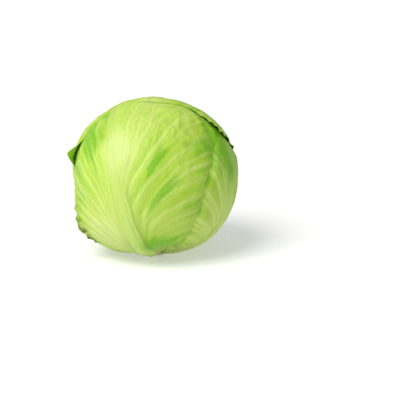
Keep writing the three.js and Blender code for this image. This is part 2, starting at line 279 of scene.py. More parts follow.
def smooth(low, high, value):
    """A smooth rise from 0 to 1 as the value goes from low to high."""
    part = np.clip((value - low) / (high - low), 0.0, 1.0)
    return part * part * (3 - 2 * part)


def bell(value, width):
    return np.exp(-((value / width) ** 2))


def angle_between(along, towards):
    return np.degrees(np.arccos(np.clip(along @ towards, -1.0, 1.0)))


def curve_through(values, spread):
    """The reading at spreads from -1 to 1 of a smooth curve through evenly spaced values."""
    held = np.array([values[0], *values, values[-1]], float)
    place = (np.clip(spread, -1, 1) + 1) / 2 * (len(values) - 1)
    left = np.minimum(place.astype(int), len(values) - 2)
    part = place - left
    a, b, c, d = (held[left + step] for step in range(4))
    cubic = 2 * a - 5 * b + 4 * c - d + part * (3 * (b - c) + d - a)
    return b + 0.5 * part * (c - a + part * cubic)


def head_radius(along):
    beneath = along[:, 2] < 0
    power = np.where(beneath, BASE_SQUARENESS, 2.0)
    flat = np.hypot(along[:, 0] / HALF_WIDTH, along[:, 1] / HALF_DEPTH)
    tall = np.abs(along[:, 2]) / np.where(beneath, BASE_HEIGHT, CROWN_HEIGHT)
    radius = (flat**power + tall**power) ** (-1 / power)
    for azimuth, rise, width, height in SWELLINGS:
        radius = radius + height * bell(angle_between(along, direction(azimuth, rise)), width)
    return radius


def near_stem(along):
    return bell(angle_between(along, np.array([0.0, 0.0, -1.0])), STEM_INFLUENCE)


def step_at(along, widest=LEAF_STEP):
    return widest + (LEAF_STEP_AT_STEM - widest) * near_stem(along)


def depth_inside(along, inner_leaves):
    """The depth of a leaf inside all the outer ones, or of the heart inside those."""
    outer_leaves = len(LEAVES)
    outer_depth = outer_leaves * step_at(along, OUTER_DEPTH / outer_leaves)
    return outer_depth + inner_leaves * step_at(along, INNER_LEAF_STEP)


def lattice(cells, seed):
    """A steady random number from -1 to 1 for each row of whole numbers."""
    mixed = cells @ np.array([374761393, 668265263, 2147483629]) + seed * 974634777
    mixed = ((mixed ^ (mixed >> 13)) * 1274126177) & 0xFFFFFFFF
    mixed = ((mixed ^ (mixed >> 16)) * 2246822519) & 0xFFFFFFFF
    return ((mixed ^ (mixed >> 15)) & 0xFFFFFF) / 0x7FFFFF - 1


def noise(points, size, seed):
    """Smooth noise from -1 to 1 over points, with features about as wide as size."""
    scaled = points / size
    cells = np.floor(scaled).astype(np.int64)
    part = scaled - cells
    part = part**3 * (part * (part * 6 - 15) + 10)
    total = np.zeros(len(points))
    for corner in np.ndindex(2, 2, 2):
        weight = np.prod(np.where(corner, part, 1 - part), axis=1)
        total += weight * lattice(cells + np.array(corner), seed)
    return total


# A leaf on the head

class Sheet:
    """A leaf's flat sheet, and where each of its points lies on the head."""

    def __init__(self, leaf, outer_sheets, shape):
        self.leaf = leaf
        self.outer_sheets = outer_sheets
        self.shape = shape
        self.out = direction(leaf["azimuth"], leaf["rise"])
        self.up = direction(leaf["azimuth"], leaf["rise"] + 90)
        self.right = np.cross(self.up, self.out)
        self.foot = 2 * math.tan(math.radians(90 + leaf["rise"]) / 2)
        self.tip = self.reach(np.zeros(1))[0]
        self.start_turns = self.turns(161)
        self.starts = self.find_starts()

    def wrap(self, turn, distance):
        angle = np.radians(turn + self.leaf["bend"] * distance)
        x = distance * np.sin(angle)
        y = distance * np.cos(angle) - self.foot
        square = x * x + y * y
        along = np.outer(4 - square, self.out) + np.outer(4 * x, self.right) + np.outer(4 * y, self.up)
        return along / (4 + square)[:, None]

    def unwrap(self, along):
        scale = 2 / np.maximum(1 + along @ self.out, 1e-9)
        x = (along @ self.right) * scale
        y = (along @ self.up) * scale + self.foot
        distance = np.hypot(x, y)
        return np.degrees(np.arctan2(x, y)) - self.leaf["bend"] * distance, distance

    def scale(self, along):
        """Millimetres on the head to one unit of the sheet."""
        return HALF_WIDTH * (1 + along @ self.out) / 2

    def turns(self, count):
        return np.linspace(-self.leaf["fan"][0], self.leaf["fan"][1], count)

    def fan(self, turn):
        return np.where(turn < 0, *self.leaf["fan"])

    def reach(self, turn):
        return curve_through(self.leaf["reach"], turn / self.fan(turn))

    def rib_turn(self, distance):
        """The turn at which the midrib runs."""
        return self.leaf["lean"] * np.exp(-distance / LEAN_FADE)

    def inside_margin(self, along, turn, distance):
        """Millimetres from each point in to the margin's line. It is negative past the margin."""
        slope = (self.reach(turn + 1) - self.reach(turn - 1)) / (np.radians(2) * distance)
        to_tip = (self.reach(turn) - distance) / np.hypot(1, slope)
        to_side = np.radians(self.fan(turn) - np.abs(turn)) * distance
        return np.minimum(to_tip, to_side) * np.maximum(self.scale(along), LEAST_UNIT)

    def cover(self, along):
        past = -self.inside_margin(along, *self.unwrap(along))
        return 1 - smooth(COVER_FADE_START, COVER_FADE_END, past)

    def nest(self, along):
        """How deep the leaf lies at each direction, and how free it is of the leaves outside it."""
        if "inside" in self.leaf:
            return depth_inside(along, self.leaf["inside"]), np.full(len(along), INNER_RELIEF)
        depth = np.zeros(len(along))
        free = np.ones(len(along))
        for sheet in self.outer_sheets:
            cover = sheet.cover(along)
            depth += cover * step_at(along)
            free *= 1 - cover
        return depth, free

    def find_starts(self):
        """The sheet distance at which each ray clears the stem."""
        shape = self.shape
        distance = np.full(len(self.start_turns), 0.5)
        for _ in range(6):
            along = self.wrap(self.start_turns, distance)
            radius = head_radius(along) - self.nest(along)[0] - shape.blade / MM
            height = HEAD_CENTRE[2] + radius * along[:, 2]
            taper = (shape.stem_top_radius - shape.stem_radius) * np.clip(height * MM / shape.stem_height, 0, 1)
            clear = (shape.stem_radius + taper) / MM + STEM_GAP
            distance *= clear / (radius * np.hypot(along[:, 0], along[:, 1]))
        return distance

    def distance(self, turn, share):
        start = np.interp(turn, self.start_turns, self.starts)
        return start + (self.reach(turn) - start) * share


def vein_start(side, outward):
    """The distance at which a vein leaves the midrib. The outermost do so first, and more so on the right."""
    return np.where(side < 0, 1.5 - 0.35 * outward, 2.25 - 0.95 * outward)


def vein_steepness(outward):
    """How fast a vein draws away from the midrib, in radians to one unit of distance."""
    return 0.05 + outward**1.15


def grow_veins(leaf):
    """The side veins and their forks. Each leaves its parent at a distance and draws away from it steadily, so
    that they fan out from the foot of the midrib."""
    draw = np.random.default_rng(leaf["seed"])
    veins = []
    for side in (-1, 1):
        for pair in range(VEIN_PAIRS):
            outward = (pair + draw.uniform(0.35, 0.65)) / VEIN_PAIRS
            trunk = dict(
                parent=None, side=side,
                steepness=side * vein_steepness(outward),
                start=float(vein_start(side, outward)) + draw.uniform(-0.06, 0.06),
                half_width=draw.uniform(0.9, 1.9) * (1.1 - 0.4 * outward), height=draw.uniform(0.45, 1.0),
                phase=draw.uniform(0, 6))
            veins.append(trunk)
            hand = 1 if draw.random() < 0.5 else -1
            for fork in range(VEIN_FORKS):
                hand = -hand
                twig = dict(
                    parent=trunk, side=side, steepness=hand * draw.uniform(0.05, 0.13),
                    start=trunk["start"] + 0.35 + 0.36 * fork + draw.uniform(-0.1, 0.1),
                    half_width=draw.uniform(0.5, 0.9), height=draw.uniform(0.25, 0.55),
                    phase=draw.uniform(0, 6))
                veins.append(twig)
                veins.append(dict(
                    parent=twig, side=side, steepness=-hand * draw.uniform(0.05, 0.12),
                    start=twig["start"] + draw.uniform(0.25, 0.5),
                    half_width=0.5, height=0.24, phase=draw.uniform(0, 6)))
    return veins


def vein_angle(vein, distance, rib_edge):
    """The angle from the midrib that a vein has reached at each distance from the foot."""
    gone = np.clip(distance - vein["start"], 0, None)
    wander = 0.008 * np.sin(distance * 5 + vein["phase"]) + 0.003 * np.sin(distance * 15 + 2 * vein["phase"])
    wander = wander * smooth(0, 0.3, gone)
    if vein["parent"]:
        settling = 0.5 * (1 - np.exp(-gone / 0.5)) + 0.5 * gone
        return vein_angle(vein["parent"], distance, rib_edge) + vein["steepness"] * settling + 0.5 * wander
    return vein["side"] * rib_edge * 0.6 + vein["steepness"] * gone + wander


def vein_field(sheet, from_rib, distance, arc, rib_edge):
    """How far the veins stand out, how much a point is vein, and how near it is to one."""
    height = np.zeros(len(distance))
    marked = np.zeros(len(distance))
    nearness = np.zeros(len(distance))
    for vein in grow_veins(sheet.leaf):
        age = np.clip((distance - vein["start"]) / (sheet.tip - vein["start"]), 0, 1)
        alive = smooth(0.0, 0.25, distance - vein["start"])
        width = vein["half_width"] * (1.25 - 0.8 * age)
        away = np.abs(from_rib - vein_angle(vein, distance, rib_edge)) * arc
        strength = alive * vein["height"]
        height = np.maximum(height, strength * (1 - 0.5 * age) * bell(away, width))
        marked = np.maximum(marked, alive * vein["height"] ** 0.6 * (1 - 0.35 * age) * bell(away, width * 0.85))
        nearness = np.maximum(nearness, strength ** 0.7 * bell(away, 1.6 + 2.4 * width))
    return height, marked, nearness


def vein_label(from_rib, distance, rib_edge):
    """A number that stays the same along the side veins and grows from the midrib outwards. It has the sign of
    its side, and inside the midrib it follows the midrib's own fibres."""
    beside = np.clip(np.abs(from_rib) - 0.6 * rib_edge, 0, None)
    outward = np.full(len(distance), 1.25)
    for halving in range(2, 16):
        past = distance - vein_start(from_rib, np.minimum(outward, 1))
        gone = 0.5 * (past + np.sqrt(past * past + 0.12))
        short = vein_steepness(outward) * gone < beside
        outward = outward + np.where(short, 1.0, -1.0) * 2.5 / 2**halving
    return np.sign(from_rib) * outward + 0.15 * np.clip(from_rib / rib_edge, -1, 1)


def strength_at(places, ray, distance):
    """How strongly each point lies in a leaf's named places, by its ray and its distance from the foot."""
    total = np.zeros(len(distance))
    for middle, width, far, length, strength in places:
        total += strength * bell(ray - middle, width) * bell(distance - far, length)
    return total


def spike_length(leaf, turn, distance):
    """How far the long teeth of a leaf's left edge reach out of it, in millimetres."""
    total = np.zeros(len(distance))
    for place, half_width, length in leaf.get("points", ()):
        total += length * np.clip(1 - np.abs(distance - place) / half_width, 0, 1) * (turn < 0)
    return total


class Spots:
    """Points of a leaf, with the measures that its form and its finish are worked out from."""

    def __init__(self, sheet, turn, share):
        self.leaf, self.shape, self.seed = sheet.leaf, sheet.shape, sheet.leaf["seed"]
        self.blade = sheet.shape.blade / MM
        self.turn = turn
        self.share = share
        self.distance = sheet.distance(turn, share)
        self.along = sheet.wrap(turn, self.distance)
        self.on_head = self.along * NOMINAL_RADIUS
        self.depth, self.free = sheet.nest(self.along)
        self.inside = np.clip(sheet.inside_margin(self.along, turn, self.distance), 0, None)
        self.at_margin = np.exp(-self.inside / 7.0)
        self.frill = strength_at(self.leaf["frills"], turn, self.distance)
        start = sheet.starts[len(sheet.starts) // 2]
        self.way_up = np.clip((self.distance - start) / (sheet.tip - start), 0, 1)
        self.measure_midrib(sheet)
        self.measure_veins(sheet)

    def measure_midrib(self, sheet):
        self.arc = self.distance * sheet.scale(self.along)
        self.from_rib = np.radians(self.turn - sheet.rib_turn(self.distance))
        half_width = self.shape.rib_half_width / MM * (1 - self.way_up) ** 0.8 + 0.9
        self.rib_edge = half_width / self.arc
        self.across = self.from_rib * self.arc / half_width
        self.rib = np.exp(-(self.across**4))
        self.broad = np.where(self.across < 0, self.rib, np.exp(-((self.across / 1.2) ** 2)))

    def measure_veins(self, sheet):
        """The side veins, which fade towards the foot and in the greens."""
        field = vein_field(sheet, self.from_rib, self.distance, self.arc, self.rib_edge)
        self.label = vein_label(self.from_rib, self.distance, self.rib_edge)
        self.green = strength_at(self.leaf.get("greens", ()), self.label, self.distance)
        plain = 1 - 0.85 * np.minimum(self.green, 1)
        plain *= 0.25 + 0.75 * smooth(0.0, 0.5, self.distance - np.where(self.from_rib < 0, 1.2, 1.7))
        self.vein_height, self.vein_mark, self.nearness = (reading * plain for reading in field)
        self.between = (1 - self.rib) * (1 - 0.85 * self.nearness)
        self.crumpled = strength_at(self.leaf.get("crumples", ()), self.turn, self.distance)
        self.fanned = np.column_stack([self.label * 60.0, self.distance * 8.0, np.zeros(len(self.turn))])


def midrib_form(spots):
    """How far the midrib stands out: a broad band with a sharp keel along it, and its fibres."""
    across, free, way_up = spots.across, spots.free, spots.way_up
    keel = np.exp(-np.abs(across) / np.where(across < 0, 0.9, 1.2))
    low = (1 - way_up) ** 2
    free_height = 0.6 + 1.6 * near_stem(spots.along) + 1.4 * low
    covered_height = COVERED_RIB_SHARE * (step_at(spots.along) - spots.blade)
    height = free * free_height + (1 - free) * covered_height
    wander = 1.5 * noise(spots.on_head, 20, spots.seed)
    fibres = FIBRE_HEIGHT * np.sin(across * 13 + wander) * spots.rib * free
    form = height * (0.5 * spots.broad + 0.5 * keel * (1 - way_up)) + fibres
    return form + free * low * KEEL_HEIGHT * keel


def blade_form(spots):
    """How far the side veins stand out alone, and with the bulges, folds and creases between them."""
    rib, seed, on_head = spots.rib, spots.seed, spots.on_head
    veins = spots.shape.vein_height / MM * spots.vein_height * (1 - 0.8 * rib)
    folds = 0.9 * noise(spots.fanned, 9.0, seed + 5) + 0.6 * noise(spots.fanned, 4.5, seed + 6)
    bulges = 0.8 * spots.between - 0.5 + 0.5 * noise(on_head, 14.0, seed + 7) * (1 - rib)
    creases = np.abs(noise(on_head, 10.0, seed + 15)) - 0.3 + 0.3 * noise(on_head, 5.0, seed + 16)
    settled = 1 - np.exp(-((spots.inside / 9) ** 2))
    soft_form = bulges + folds * (1 - 0.7 * rib) - CREASE_DEPTH * spots.crumpled * creases
    body = veins + settled * smooth(0.03, 0.4, spots.way_up) * soft_form
    lowest = 0.15 + spots.blade - step_at(spots.along)
    return veins, spots.free * (lowest + 0.25 * np.logaddexp(0, (body - lowest) / 0.25))


def margin_form(spots):
    """How far the margin is raised where it is fluted, lifted or toothed, and pressed down elsewhere."""
    inside, turn, distance = spots.inside, spots.turn, spots.distance
    wander = 3.0 * noise(spots.on_head, 16, spots.seed + 8)
    round_margin = 29 * distance - 1.5 * np.abs(turn) + wander + spots.seed
    flutes = 0.5 + 0.5 * np.sin(round_margin)
    ripple = 0.5 + 0.5 * np.sin(2.3 * round_margin + 2.0 * noise(spots.on_head, 12, spots.seed + 9))
    fluted = spots.at_margin * flutes + 0.25 * np.exp(-inside / 4.0) * ripple
    lift = np.zeros(len(turn))
    for middle, width, height, lowest_share in spots.leaf["lifts"]:
        lift += height * bell(turn - middle, width) * smooth(lowest_share, 1.0, spots.share) ** 1.2
    lift *= smooth(1.2, 1.7, distance)
    spikes = spike_length(spots.leaf, turn, distance) * np.exp(-inside / 3.0)
    frill_height = spots.shape.frill_height / MM
    raised = spots.free * (frill_height * spots.frill * fluted + lift + TOOTH_RISE * spikes)
    drop = LEAF_STEP - 0.55 * spots.blade - MARGIN_GAP
    pressed = -drop * spots.free * np.exp(-((inside / 4) ** 2)) * (1 - smooth(0, 1.5, raised))
    return raised, pressed


def finish_marks(spots):
    """What the finish reads: how much of a rib or vein a point is, and how deep or pale a green, with painted
    shade in the deep mark and a painted highlight in the pale mark.
    """
    way_up, nearness = spots.way_up, spots.nearness
    shift = np.zeros(len(spots.turn))
    for azimuth, rise, width, amount in TINTS_AND_PAINTED_LIGHT:
        shift += amount * bell(angle_between(spots.along, direction(azimuth, rise)), width)
    patchy = noise(spots.fanned, 6.0, spots.seed + 12) + 0.5 * noise(spots.on_head, 9.0, spots.seed + 13)
    deepened = np.clip(-shift, 0, 1)
    patch_and_shade = 0.75 * smooth(-0.4, 0.9, patchy) * spots.between + deepened * (1 - 0.5 * nearness) + spots.green
    # Painted shade: deep green wherever another leaf lies over this one, as in the gap under a lifted margin.
    patch_and_shade = np.maximum(patch_and_shade - np.clip(shift, 0, 1), 0.9 * (1 - spots.free))
    patch_and_shade = np.clip(patch_and_shade + 0.35 * np.minimum(spots.frill, 1) * spots.at_margin, 0, 1)
    # Paler beside the upper midrib: the rib's own pale band, and in part a painted highlight along it.
    beside_rib = bell(spots.from_rib * spots.arc, 15) * smooth(0.3, 0.55, way_up)
    pale = np.clip(0.8 * smooth(0.62, 0.12, way_up) + 0.6 * beside_rib + shift, 0, 1)
    uncreased = smooth(0.3, 0.8, way_up) * (1 - 0.6 * spots.at_margin)
    return {
        "veins": np.column_stack([
            np.maximum(spots.rib, spots.broad) * (1 - way_up) ** 0.7 * (1 - 0.8 * deepened),
            spots.vein_mark * (1 - spots.rib) * (1 - 0.4 * deepened),
            nearness * (1 - 0.6 * deepened),
        ]),
        "tint_and_light": np.column_stack([patch_and_shade, pale, np.exp(-spots.inside / 3.0)]),
        "pucker": spots.free * spots.between * uncreased * (0.6 + spots.crumpled),
        "flat": np.column_stack([spots.label, spots.distance * 0.3]),
    }


def leaf_surface(sheet, turn, share):
    """A leaf's outer and inner faces at points of its sheet, as distances from the head's centre in
    millimetres, with the marks that its finish reads."""
    spots = Spots(sheet, turn, share)
    veins, body = blade_form(spots)
    raised, pressed = margin_form(spots)
    base = head_radius(spots.along) - spots.depth
    outer = base + midrib_form(spots) + body + raised + pressed
    thickness = spots.blade * (1 - 0.45 * np.exp(-spots.inside / 2.5))
    inner = base + 0.7 * (body - spots.free * veins) + raised + pressed - thickness
    inner = np.minimum(inner, outer - LEAST_THICKNESS)
    return spots.along, outer, inner, finish_marks(spots)


def heart_radius(along):
    """The youngest leaves as one tight bud, whose overlapping edges wind round it as low steps."""
    azimuth = np.degrees(np.arctan2(along[:, 1], along[:, 0]))
    rise = np.degrees(np.arcsin(np.clip(along[:, 2], -1, 1)))
    fold = (azimuth + 0.8 * rise) * HEART_LEAF_EDGES / 360 % 1
    edge = 1.8 * fold * (1 - smooth(0.86, 1.0, fold)) * np.cos(np.radians(rise))
    crumple = 0.5 * np.sin(np.radians(azimuth * 7)) * np.cos(np.radians(rise * 5))
    crumple += 0.5 * noise(along * 30, 5.0, 61) + 0.25 * noise(along * 30, 2.2, 62)
    return head_radius(along) - depth_inside(along, len(INNER_LEAVES)) - 3 + edge + crumple


def row_columns(sheet, shares, cell):
    """How many columns each row of a leaf takes for cells about as wide as cell."""
    turns = sheet.turns(61)
    counts = []
    for share in shares:
        along = sheet.wrap(turns, sheet.distance(turns, np.full(61, share)))
        length = np.linalg.norm(np.diff(along * NOMINAL_RADIUS, axis=0), axis=1).sum()
        counts.append(max(24, int(round(length / cell)) + 1))
    return counts


def stitch(near, far):
    """The triangles between two rows of vertex numbers, which may hold different counts."""
    near_steps = np.arange(1, len(near)) / (len(near) - 1)
    far_steps = np.arange(1, len(far)) / (len(far) - 1)
    across = np.searchsorted(far_steps, near_steps, side="left")
    back = np.searchsorted(near_steps, far_steps, side="right")
    return np.vstack([
        np.column_stack([near[:-1], near[1:], far[across]]),
        np.column_stack([near[back], far[1:], far[:-1]]),
    ])


def toothed(sheet, turn, share):
    """Draws the margin in and out a little, in lobes and small teeth, and carries the sheet near it along."""
    seed = sheet.leaf["seed"]
    distance = sheet.distance(turn, share)
    millimetres = distance * sheet.scale(sheet.wrap(turn, distance))
    places = np.column_stack([np.radians(turn) * millimetres, millimetres, np.zeros(len(turn))])
    lobes = 1.4 * noise(places, 14.0, seed + 20) + 0.5 * noise(places, 6.0, seed + 23)
    teeth = 0.8 - 1.8 * np.abs(noise(places, 3.8, seed + 21)) + 0.5 * noise(places, 1.4, seed + 22)
    here_and_there = smooth(-0.4, 0.5, noise(places, 11.0, seed + 24))
    frill = strength_at(sheet.leaf["frills"], turn, distance)
    jag = lobes + teeth * (0.15 + 1.6 * frill) * here_and_there
    jag += spike_length(sheet.leaf, turn, distance)
    side = smooth(0.8, 1.0, np.abs(turn) / sheet.fan(turn))
    moved_share = share * (1 + jag / millimetres * smooth(0.85, 1.0, share))
    turned = np.degrees(jag / millimetres) / sheet.fan(turn) * side * smooth(0, 0.2, share)
    return turn * (1 + turned), moved_share


def leaf_mesh(sheet):
    """A leaf as one closed blade, with the same triangles on both faces and a rim round the margin."""
    leaf = sheet.leaf
    rows = int(sheet.tip * ROW_UNIT / leaf["cell"])
    shares = np.linspace(0, 1, rows + 1)
    counts = row_columns(sheet, shares, leaf["cell"])
    turn = np.concatenate([sheet.turns(count) for count in counts])
    turn, share = toothed(sheet, turn, np.repeat(shares, counts))
    along, outer, inner, marks = leaf_surface(sheet, turn, share)

    first = np.concatenate([[0], np.cumsum(counts)])
    numbers = [np.arange(first[row], first[row + 1]) for row in range(len(counts))]
    face = np.vstack([stitch(numbers[row], numbers[row + 1]) for row in range(rows)])
    rim = np.concatenate([
        numbers[0],
        [row[-1] for row in numbers[1:-1]],
        numbers[-1][::-1],
        [row[0] for row in numbers[-2:0:-1]],
    ])
    after = np.roll(rim, -1)
    count = len(turn)
    edge = np.vstack([
        np.column_stack([rim, rim + count, after]),
        np.column_stack([after, rim + count, after + count]),
    ])
    triangles = np.vstack([face, face[:, ::-1] + count, edge])
    points = np.vstack([along * outer[:, None], along * inner[:, None]]) + HEAD_CENTRE
    points[:, 2] = np.maximum(points[:, 2], FLOOR_CLEARANCE)
    return points, triangles, {name: np.concatenate([mark, mark]) for name, mark in marks.items()}


# Meshes

def ring_faces(rings, columns):
    """The faces of a closed form made of one point, then rings of points, then one last point."""
    def ring(level):
        return 1 + level * columns + np.arange(columns)

    faces = []
    for level in range(rings - 1):
        low, high = ring(level), ring(level + 1)
        faces += np.column_stack([low, np.roll(low, -1), np.roll(high, -1), high]).tolist()
    first, last = ring(0), ring(rings - 1)
    faces += [[0, after, before] for before, after in zip(first.tolist(), np.roll(first, -1).tolist())]
    top = rings * columns + 1
    faces += [[top, before, after] for before, after in zip(last.tolist(), np.roll(last, -1).tolist())]
    return faces


def mesh_object(name, points, faces):
    """A smooth mesh in the scene, from points in millimetres."""
    mesh = bpy.data.meshes.new(name)
    mesh.from_pydata((points * MM).tolist(), [], faces.tolist() if hasattr(faces, "tolist") else faces)
    mesh.update()
    mesh.polygons.foreach_set("use_smooth", np.ones(len(mesh.polygons), bool))
    made = bpy.data.objects.new(name, mesh)
    bpy.context.scene.collection.objects.link(made)
    return made


def add_marks(made, marks):
    """Stores the numbers that a leaf's finish reads: two colours, one number and a map of the flat sheet."""
    mesh = made.data
    for name in ("veins", "tint_and_light"):
        values = np.ones((len(mesh.vertices), 4), np.float32)
        values[:, :3] = marks[name]
        mesh.attributes.new(name, "FLOAT_COLOR", "POINT").data.foreach_set("color", values.ravel())
    mesh.attributes.new("pucker", "FLOAT", "POINT").data.foreach_set("value", marks["pucker"])
    corners = np.empty(len(mesh.loops), np.int32)
    mesh.loops.foreach_get("vertex_index", corners)
    mesh.uv_layers.new(name="sheet").data.foreach_set("uv", marks["flat"][corners].ravel())


def settle(made, tree, inputs):
    """Runs a Geometry Nodes tree on an object and keeps its result as the object's plain mesh."""
    modifier = made.modifiers.new(tree.name, "NODES")
    modifier.node_group = tree
    for item in tree.interface.items_tree:
        if item.in_out == "INPUT" and item.name in inputs:
            modifier[item.identifier] = inputs[item.name]
    graph = bpy.context.evaluated_depsgraph_get()
    result = bpy.data.meshes.new_from_object(
        made.evaluated_get(graph), preserve_all_data_layers=True, depsgraph=graph)
    made.modifiers.remove(modifier)
    made.data = result
    return made


# Node trees

class Value:
    """A number socket of a node tree. The usual operators add Math nodes to the tree."""

    def __init__(self, graph, socket):
        self.graph = graph
        self.socket = socket

    def __add__(self, other):
        return self.graph.maths("ADD", self, other)

    __radd__ = __add__

    def __sub__(self, other):
        return self.graph.maths("SUBTRACT", self, other)

    def __rsub__(self, other):
        return self.graph.maths("SUBTRACT", other, self)

    def __mul__(self, other):
        return self.graph.maths("MULTIPLY", self, other)

    __rmul__ = __mul__


class Graph:
    """A node tree that is written in Python expressions."""

    def __init__(self, tree):
        self.tree = tree

    def node(self, kind, settings=None, inputs=None):
        made = self.tree.nodes.new(kind)
        for name, value in (settings or {}).items():
            setattr(made, name, value)
        for name, value in (inputs or {}).items():
            if isinstance(value, Value):
                self.tree.links.new(value.socket, made.inputs[name])
            else:
                made.inputs[name].default_value = value
        return made

    def value(self, kind, output, settings=None, inputs=None):
        return Value(self, self.node(kind, settings, inputs).outputs[output])

    def maths(self, operation, first, second=0.0):
        return self.value("ShaderNodeMath", 0, {"operation": operation}, {0: first, 1: second})

    def limited(self, value, low, high):
        """A smooth rise from 0 to 1 as the value goes from low to high."""
        return self.value(
            "ShaderNodeMapRange", "Result", {"interpolation_type": "SMOOTHSTEP"},
            {"Value": value, "From Min": low, "From Max": high})


class Finish(Graph):
    """A material on one Principled shader."""

    def __init__(self, name, roughness, gloss=0.5, coat=0.0, glow=0.0, lit=0.0):
        self.material = bpy.data.materials.new(name)
        self.material.use_nodes = True
        super().__init__(self.material.node_tree)
        self.tree.nodes.clear()
        self.shader = self.node("ShaderNodeBsdfPrincipled", None, {
            "Roughness": roughness,
            "Specular IOR Level": gloss,
            "Coat Weight": coat,
            "Coat Roughness": 0.25,
            "Subsurface Weight": glow,
            "Subsurface Radius": (0.6, 1.0, 0.25),
            "Subsurface Scale": 0.0025,
            "Emission Color": (1.0, 1.0, 1.0, 1.0),
            "Emission Strength": lit,
        })
        output = self.node("ShaderNodeOutputMaterial")
        self.tree.links.new(self.shader.outputs[0], output.inputs["Surface"])

    def feed(self, socket, value):
        self.tree.links.new(value.socket, self.shader.inputs[socket])

    def place(self):
        return self.value("ShaderNodeTexCoord", "Object")

    def attribute(self, name):
        """The three numbers of a colour attribute."""
        read = self.value("ShaderNodeAttribute", "Color", {"attribute_name": name})
        parts = self.node("ShaderNodeSeparateColor", None, {"Color": read})
        return [Value(self, parts.outputs[index]) for index in range(3)]

    def noise(self, place, scale, detail=2.0, roughness=0.5):
        return self.value(
            "ShaderNodeTexNoise", "Fac", None,
            {"Vector": place, "Scale": scale, "Detail": detail, "Roughness": roughness})

    def mix(self, first, second, factor):
        def opaque(tone):
            return tone if isinstance(tone, Value) else (*tone, 1.0)
        return self.value(
            "ShaderNodeMix", "Result", {"data_type": "RGBA"},
            {"Factor": factor, "A": opaque(first), "B": opaque(second)})

    def raise_by(self, height, depth, strength=1.0):
        bump = self.value("ShaderNodeBump", "Normal", None, {
            "Height": height, "Distance": depth, "Strength": strength})
        self.feed("Normal", bump)


def leaf_finish(name, deep_and_shade_tone, mid_tone, pale_tone, lightest_and_highlight_tone, vein_tone, rib_tone):
    """A blade that is paler beside the veins and towards the base, with a net of veinlets between them, and
    with painted shade and a painted highlight mixed in from its marks.
    """
    leaf = Finish(name, 0.45, gloss=0.22, glow=0.25)
    place = leaf.place()
    rib, vein, near_vein = leaf.attribute("veins")
    patch_and_shade, pale, margin = leaf.attribute("tint_and_light")

    mottle = leaf.noise(place, 160.0, 4.0, 0.6)
    flat = leaf.value("ShaderNodeUVMap", "UV", {"uv_map": "sheet"})
    stretched = leaf.value(
        "ShaderNodeVectorMath", "Vector", {"operation": "MULTIPLY"}, {0: flat, 1: (1.0, 0.12, 1.0)})
    streak = leaf.noise(stretched, 42.0, 5.0, 0.65)
    band = leaf.noise(stretched, 15.0, 2.0, 0.5)
    net = leaf.value(
        "ShaderNodeTexVoronoi", "Distance", {"feature": "DISTANCE_TO_EDGE"},
        {"Vector": flat, "Scale": 30.0, "Randomness": 1.0})
    veinlet = 1 - leaf.limited(net, 0.0, 0.15)

    # Deeper green for the greener strips between veins, and painted shade where the marks hold it.
    deep = patch_and_shade * 1.25 + (mottle - 0.5) * 0.6 + (streak - 0.5) * 1.8 + (band - 0.5) * 1.4 - 0.15
    # Paler where the pale mark is high. This is partly the blade's own paleness and partly the painted
    # highlight up on the front and beside the midrib.
    blade = leaf.mix(mid_tone, pale_tone, pale * 0.85)
    blade = leaf.mix(blade, deep_and_shade_tone, leaf.limited(deep, 0.0, 1.0) * (1 - pale * 0.5))
    # Lightest where the pale mark is highest, which paints the highlight up on the front of the head.
    blade = leaf.mix(blade, lightest_and_highlight_tone, leaf.limited(pale + (streak - 0.5) * 2.0, 0.5, 1.3) * 0.75)
    blade = leaf.mix(blade, pale_tone, near_vein * 0.4)
    blade = leaf.mix(blade, vein_tone, veinlet * 0.08 * (1 - rib))
    blade = leaf.mix(blade, vein_tone, vein * 0.8)
    fibrous = leaf.limited(rib + (streak - 0.5) * 1.1, 0.1, 1.0)
    blade = leaf.mix(blade, rib_tone, fibrous * 0.75)
    leaf.feed("Base Color", leaf.mix(blade, mid_tone, margin * 0.3))

    leaf.feed("Roughness", 0.40 + mottle * 0.16)
    grain = leaf.noise(place, 900.0, 3.0, 0.6)
    leaf.raise_by(streak * 0.8 + veinlet * 0.15 + mottle * 0.6 + grain * 0.15, 0.0007)
    return leaf.material


def heart_finish(colours):
    heart = Finish("heart", 0.5, glow=0.2)
    place = heart.place()
    mottle = heart.noise(place, 120.0, 4.0)
    cloud = heart.noise(place, 40.0, 2.0)
    heart.feed("Base Color", heart.mix(colours.heart, colours.inner_leaf, cloud * 0.6 + mottle * 0.4))
    heart.raise_by(mottle, 0.0006)
    return heart.material


def stem_finish(colours):
    """Cream flesh that has tanned at the cut, most of all round its rim, with faint rings in the cut."""
    stem = Finish("stem", 0.55, coat=0.1, glow=0.15)
    place = stem.place()
    parts = stem.node("ShaderNodeSeparateXYZ", None, {"Vector": place})
    x, y, height = (Value(stem, parts.outputs[index]) for index in range(3))
    out = stem.maths("SQRT", x * x + y * y)
    stain = stem.noise(place, 220.0, 5.0, 0.65)
    at_cut = 1 - stem.limited(height, 0.0001, 0.0008)
    rim = stem.limited(out + (stain - 0.5) * 0.006, 0.008, 0.013)
    rings = stem.value(
        "ShaderNodeTexWave", "Fac", {"wave_type": "RINGS", "rings_direction": "Z"},
        {"Vector": place, "Scale": 150.0, "Distortion": 5.0, "Detail": 3.0, "Detail Scale": 2.0})
    tan = at_cut * (rim * 0.75 + stain * 0.25 + rings * 0.12)
    flesh = stem.mix(colours.stem, colours.leaf_pale, stem.limited(height, 0.0005, 0.004) * 0.85)
    stem.feed("Base Color", stem.mix(flesh, colours.stem_cut, tan))
    stem.feed("Roughness", 0.45 + stain * 0.25)
    stem.raise_by(stain + rings * 0.3, 0.0006)
    return stem.material


